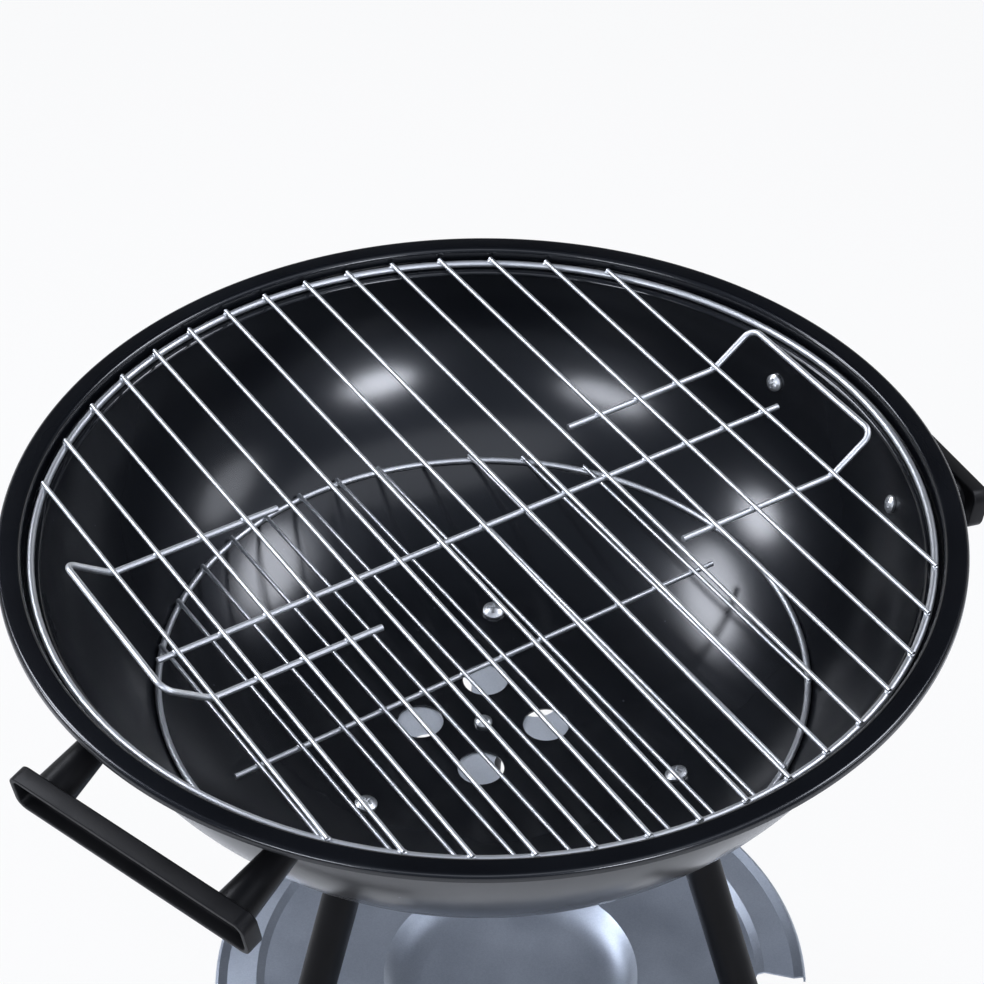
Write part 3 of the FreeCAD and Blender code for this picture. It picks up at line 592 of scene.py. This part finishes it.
def makeBowl():
    b = bowlForm
    form = bmesh.new()
    rings = [roundRing(form, 0, 0, z, r, b["turns"]) for r, z in bowlProfile()]
    for ring, nextRing in zip(rings, rings[1:]):
        bridge(form, ring, nextRing)
    holes = [(0, 0, b["pivotRadius"])]
    for number in range(b["vents"]):
        turn = math.radians(b["ventTurn"] + 360 * number / b["vents"])
        reach = b["ventCircle"]
        holes.append((reach * math.cos(turn), reach * math.sin(turn), b["ventRadius"]))
    # the floor's two sides, each an outer ring with the rings of its holes
    sides = [[rings[0]], [rings[-1]]]
    for x, y, radius in holes:
        pair = []
        for side, z in zip(sides, (b["floorTop"], b["floorTop"] - b["sheet"])):
            pair.append(roundRing(form, x, y, z, radius, b["holeTurns"]))
            side.append(pair[-1])
        bridge(form, *pair)
    for side in sides:
        edges = []
        for ring in side:
            for ends in zip([ring[-1]] + ring[:-1], ring):
                edges.append(form.edges.get(ends) or form.edges.new(ends))
        bmesh.ops.triangle_fill(form, use_beauty=True, edges=edges)
    piece = addPiece("bowl_shell", finishMesh("bowl_shell", form), "frame", "black_enamel")
    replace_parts(piece, "bowl")


makeBowl()
print("bowl done")

# Moulded handles: a bar open to the outside with softened edges, leaning back on two
# posts that thin towards the bowl
handleForm = {
    "angles": {"handle_right": -128.5, "handle_left": 74.5},
    "height": 515,
    "standOff": 27.5,
    "lean": 5,
    "long": 135.5,
    "tall": 21,
    "deep": 8.5,
    "skin": 2.5,
    "corner": 5.5,
    "leastCorner": 1,
    "cornerSteps": 8,
    "edge": 0.8,
    "lipEdge": 0.5,
    "edgeSteps": 4,
    "postSpacing": 104,
    "postAtBar": (19.5, 17.5),
    "postAtBowl": (13, 14),
    "postTurns": 48,
    "postReach": 35,
    "seat": 0.3,
}


# inset and depth of each ring of the bar, from its back over the lip into the hollow
def barRings():
    h = handleForm
    edge, lip, skin, deep = h["edge"], h["lipEdge"], h["skin"], h["deep"]
    angles = [math.pi / 2 * step / h["edgeSteps"] for step in range(h["edgeSteps"] + 1)]
    turns = [(math.cos(angle), math.sin(angle)) for angle in angles]
    rings = [(edge * (1 - s), edge * (1 - c)) for c, s in turns]
    rings += [(lip * (1 - c), deep - lip * (1 - s)) for c, s in turns]
    rings += [(skin - lip * (1 - s), deep - lip * (1 - c)) for c, s in turns]
    return rings + [(skin + edge * (1 - c), skin + edge * (1 - s)) for c, s in turns]


def barOutline(inset):
    h = handleForm
    corner = max(h["corner"] - inset, h["leastCorner"])
    wide, tall = h["long"] / 2 - inset - corner, h["tall"] / 2 - inset - corner
    points = []
    for quarter, (side, rise) in enumerate(((1, 1), (-1, 1), (-1, -1), (1, -1))):
        for step in range(h["cornerSteps"] + 1):
            angle = math.radians(90 * quarter + 90 * step / h["cornerSteps"])
            across, up = corner * math.cos(angle), corner * math.sin(angle)
            points.append((side * wide + across, rise * tall + up))
    return points


def makeHandle(node, angle):
    h, b = handleForm, bowlForm
    centre = b["floorTop"] + b["wallRadius"]
    wall = b["wallRadius"] + b["sheet"]
    drop = math.asin((centre - h["height"]) / wall)
    start = Vector((b["floorRadius"] + wall * math.cos(drop), 0, h["height"]))
    out = Matrix.Translation(start) @ Matrix.Rotation(drop, 4, "Y")
    form = bmesh.new()
    lean = Matrix.Rotation(math.radians(-h["lean"]), 4, "Y")
    stand = Matrix.Translation((h["standOff"], 0, 0)) @ lean
    rings = []
    for inset, depth in barRings():
        outline = [stand @ Vector((depth, y, z)) for y, z in barOutline(inset)]
        rings.append([form.verts.new(spot) for spot in outline])
    for ring, nextRing in zip(rings, rings[1:]):
        bridge(form, ring, nextRing)
    form.faces.new(rings[0])
    form.faces.new(rings[-1])

    # how far in a line along the post meets the seat on the bowl
    def wallAt(y, z):
        near, far = 0.0, -h["postReach"]
        for halving in range(30):
            middle = (near + far) / 2
            spot = out @ Vector((middle, y, z))
            across = math.hypot(spot.x, spot.y) - b["floorRadius"]
            away = math.hypot(across, spot.z - centre)
            near, far = (middle, far) if away > wall + h["seat"] else (near, middle)
        return near

    barBack = h["standOff"] + h["skin"] / 2
    (barWide, barTall), (bowlWide, bowlTall) = h["postAtBar"], h["postAtBowl"]
    for side in (-1, 1):
        post = side * h["postSpacing"] / 2
        atBar, atBowl = [], []
        for step in range(h["postTurns"]):
            turn = math.tau * step / h["postTurns"]
            across, up = math.cos(turn) / 2, math.sin(turn) / 2
            atBar.append(form.verts.new((barBack, post + across * barWide, up * barTall)))
            y, z = post + across * bowlWide, up * bowlTall
            atBowl.append(form.verts.new((wallAt(y, z), y, z)))
        bridge(form, atBar, atBowl)
        form.faces.new(atBar)
        form.faces.new(atBowl)
    name = node + "_moulding"
    mesh = finishMesh(name, form, Matrix.Rotation(math.radians(angle), 4, "Z") @ out)
    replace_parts(addPiece(name, mesh, "frame", "black_moulding"), node)


for node, angle in handleForm["angles"].items():
    makeHandle(node, angle)
print("handles done")

# Resistance welds: a small collar of squeezed-out metal where two wires cross, and the
# butt weld that closes the cooking grate's ring
weldLumps = {
    "growth": (0.9, 1.15),
    "twist": 0.2,
    "unevenness": 0.07,
    "fineness": 2,
}
cookingWelds = {
    "angle": -123.9,
    "pitch": 22.2,
    "wires": 15,
    "ringRadius": 202.7,
    "ringHeight": 537.55,
    "barHeight": 537.2,
    "barHalf": 164.5,
    "loops": ((1, -7.5), (-1, 14.0)),  # which end, and how far off the bar
    "loopHalf": 47,
    "loopStart": 72,
    "size": (2.2, 1.65, 1.0),
    "jointTurn": 140.3,
    "jointHeight": 536.0,
    "jointSize": (2.15, 1.5, 2.1),
}
charcoalWelds = {
    "angle": -123,
    "pitch": 22,
    "wires": 12,
    "ringRadius": 152,
    "ringHeight": 451.45,
    "barHeight": 451.1,
    "barHalf": 133,
    "loops": (),
    "size": (2.0, 1.5, 0.95),
}


# place, direction and size of each weld
def weldSpots(look):
    spots = []
    size, bar = look["size"], look["barHeight"]
    for number in range(look["wires"]):
        offset = (number - (look["wires"] - 1) / 2) * look["pitch"]
        reach = math.sqrt(look["ringRadius"] ** 2 - offset ** 2)
        for end in (-1, 1):
            along = math.atan2(end * reach, offset) + math.pi / 2
            spots.append((Vector((offset, end * reach, look["ringHeight"])), along, size))
        if abs(offset) < look["barHalf"]:
            spots.append((Vector((offset, 0, bar)), 0, size))
        for side, shift in look["loops"]:
            if side * offset > look["loopStart"]:
                for end in (-1, 1):
                    wire = shift + end * look["loopHalf"]
                    spots.append((Vector((offset, wire, bar)), 0, size))
    if "jointTurn" in look:
        along = math.radians(look["jointTurn"])
        middle = Vector((look["ringRadius"], 0, look["jointHeight"]))
        middle.rotate(Matrix.Rotation(along, 3, "Z"))
        spots.append((middle, along, look["jointSize"]))
    return spots


def makeWelds(name, look, body, slotName, seed):
    chance = random.Random(seed)
    turn = Matrix.Rotation(math.radians(look["angle"]), 4, "Z")
    form = bmesh.new()
    twist, uneven = weldLumps["twist"], weldLumps["unevenness"]
    for spot, along, sizes in weldSpots(look):
        ball = bmesh.ops.create_icosphere(form, subdivisions=weldLumps["fineness"], radius=1)
        spread = [size * chance.uniform(*weldLumps["growth"]) for size in sizes]
        lie = Matrix.Rotation(along + chance.uniform(-twist, twist), 4, "Z")
        place = turn @ Matrix.Translation(spot) @ lie
        for vert in ball["verts"]:
            lump = 1 + chance.uniform(-uneven, uneven)
            local = Vector([vert.co[axis] * spread[axis] * lump for axis in range(3)])
            vert.co = place @ local
    return addPiece(name, finishMesh(name, form, crease=180), body, slotName)


makeWelds("cooking_grate_welds", cookingWelds, "cooking_grate", "bright_wire", 3)
makeWelds("charcoal_grate_welds", charcoalWelds, "charcoal_grate", "dull_wire", 5)
print("welds done")

# Studio: a pale floor, soft boxes round the bowl and a broad fill from above
studio = {
    "aim": (0, 0, 0.5),
    "distance": 2.4,
    # name, azimuth, elevation, width and height in degrees, level with white as 1
    "boxes": (
        ("back_left_box", -5, 45, 30, 15, 11.0),
        ("left_box", 18, 25, 13, 12, 17.5),
        ("front_left_box", 78, 25, 22, 8, 16.0),
        ("front_right_box", 144, 22, 18, 9, 20.5),
        ("back_right_box", -138, 49, 26, 16, 10.0),
        ("right_box", -160, 26, 22, 12, 3.6),
        ("broad_panel", 138, 58, 75, 26, 0.9),
    ),
    "lampColour": "#f1f5ff",
    "fillHeight": 3.0,
    "fillSize": 3.0,
    "fillLevel": 0.2,
    "white": "#ffffff",
    "floorSize": 30,
    "floorWhite": "#e4e4e4",
    "floorSeen": 0.86,
    "floorMirrored": 0.15,
}


# an area lamp of this size in metres
def addLamp(name, shape, wide, tall, level):
    lamp = bpy.data.lights.new(name, "AREA")
    lamp.shape = shape
    lamp.size, lamp.size_y = wide, tall
    lamp.energy = level * math.pi * wide * tall
    return newObject(name, lamp)


def makeStudio():
    aim, distance = Vector(studio["aim"]), studio["distance"]
    for name, azimuth, elevation, wide, tall, level in studio["boxes"]:
        out = Vector((1, 0, 0))
        out.rotate(Matrix.Rotation(math.radians(-elevation), 3, "Y"))
        out.rotate(Matrix.Rotation(math.radians(azimuth), 3, "Z"))
        spans = [2 * distance * math.tan(math.radians(span) / 2) for span in (wide, tall)]
        box = addLamp(name, "ELLIPSE", *spans, level)
        box.data.color = paint(studio["lampColour"])[:3]
        box.location = aim + out * distance
        box.rotation_euler = (-out).to_track_quat("-Z", "Y").to_euler()
    size = studio["fillSize"]
    fill = addLamp("fill", "SQUARE", size, size, studio["fillLevel"])
    fill.location = (0, 0, studio["fillHeight"])
    fill.visible_glossy = False


# 1 where the viewer looks straight at a surface, or through something clear
def seenShare(tree, ray):
    return addNode(tree, "Math", {"operation": "MAXIMUM"}, {
        0: ray.outputs["Is Camera Ray"],
        1: ray.outputs["Is Transmission Ray"],
    }).outputs[0]


# Matt paper sweep: takes the soft shadow and looks nearly white
def makeFloor():
    half = studio["floorSize"] / 2
    corners = [(-half, -half, 0), (half, -half, 0), (half, half, 0), (-half, half, 0)]
    mesh = bpy.data.meshes.new("floor")
    mesh.from_pydata(corners, [], [(0, 1, 2, 3)])
    floor = newObject("floor", mesh)
    material = bpy.data.materials.new("white_sweep")
    tree = blankTree(material)
    ray = addNode(tree, "LightPath")
    seen = addNode(tree, "Math", {"operation": "MULTIPLY"}, {
        0: seenShare(tree, ray),
        1: studio["floorSeen"],
    })
    share = addNode(tree, "Math", {"operation": "MULTIPLY_ADD"}, {
        0: ray.outputs["Is Glossy Ray"],
        1: studio["floorMirrored"],
        2: seen.outputs[0],
    })
    matt = addNode(tree, "BsdfDiffuse", {}, {"Color": paint(studio["floorWhite"])})
    lit = addNode(tree, "Emission", {}, {"Color": paint(studio["white"]), "Strength": 1.0})
    both = addNode(tree, "MixShader", {}, {
        0: share.outputs[0],
        1: matt.outputs[0],
        2: lit.outputs[0],
    })
    addNode(tree, "OutputMaterial", {}, {"Surface": both.outputs[0]})
    mesh.materials.append(material)


# Room that the object mirrors: dim, paler overhead and on the side that the picture is
# taken from, with a white backdrop low behind the object
room = {
    "frontAzimuth": 114.2,
    "tones": ((0.15, "#27292f"), (0.95, "#818997")),
    "paleWay": (0.75, 0.66),  # forward and up
    "backdrop": "#f3f3f3",
    "backdropWay": (-0.5, -2.5),
    "backdropEdge": (-0.35, -0.1),
}


def makeWorld():
    world = bpy.data.worlds.new("studio")
    bpy.context.scene.world = world
    tree = blankTree(world)
    ahead = math.radians(room["frontAzimuth"])
    way = addNode(tree, "TexCoord").outputs["Generated"]
    reaches = []
    for forward, up in (room["paleWay"], room["backdropWay"]):
        toward = (forward * math.cos(ahead), forward * math.sin(ahead), up)
        reach = addNode(tree, "VectorMath", {"operation": "DOT_PRODUCT"}, {0: way, 1: toward})
        reaches.append(reach.outputs["Value"])
    walls = addNode(tree, "ValToRGB", {}, {"Fac": reaches[0]})
    for stop, (at, tone) in zip(walls.color_ramp.elements, room["tones"]):
        stop.position, stop.color = at, paint(tone)
    backdrop = addNode(tree, "MapRange", {"interpolation_type": "SMOOTHSTEP"}, {
        "Value": reaches[1],
        "From Min": room["backdropEdge"][0],
        "From Max": room["backdropEdge"][1],
    })
    colour = addNode(tree, "Mix", {"data_type": "RGBA"}, {
        0: backdrop.outputs["Result"],
        6: walls.outputs["Color"],
        7: paint(room["backdrop"]),
    })
    seen = seenShare(tree, addNode(tree, "LightPath"))
    mirrored = addNode(tree, "Background", {}, {"Color": colour.outputs[2], "Strength": 1.0})
    white = addNode(tree, "Background", {}, {"Color": paint(studio["white"]), "Strength": 1.0})
    both = addNode(tree, "MixShader", {}, {
        0: seen,
        1: mirrored.outputs[0],
        2: white.outputs[0],
    })
    addNode(tree, "OutputWorld", {}, {"Surface": both.outputs[0]})


# where the picture was taken from
viewpoint = {
    "place": (-0.42417, 0.94241, 1.43023),
    "ahead": (0.31070, -0.69785, -0.64535),
    "up": (0.26249, -0.58956, 0.76389),
    "lens": 110.84,
    "sensor": 36,
}


def makeCamera():
    camera = newObject("camera", bpy.data.cameras.new("camera"))
    ahead = Vector(viewpoint["ahead"]).normalized()
    right = ahead.cross(Vector(viewpoint["up"])).normalized()
    up = right.cross(ahead)
    facing = Matrix((right, up, -ahead)).transposed().to_4x4()
    camera.matrix_world = Matrix.Translation(viewpoint["place"]) @ facing
    camera.data.lens = viewpoint["lens"]
    camera.data.sensor_width = viewpoint["sensor"]
    bpy.context.scene.camera = camera


makeStudio()
makeFloor()
makeWorld()
makeCamera()
bpy.context.scene.view_settings.view_transform = "Standard"
print("studio and camera set")
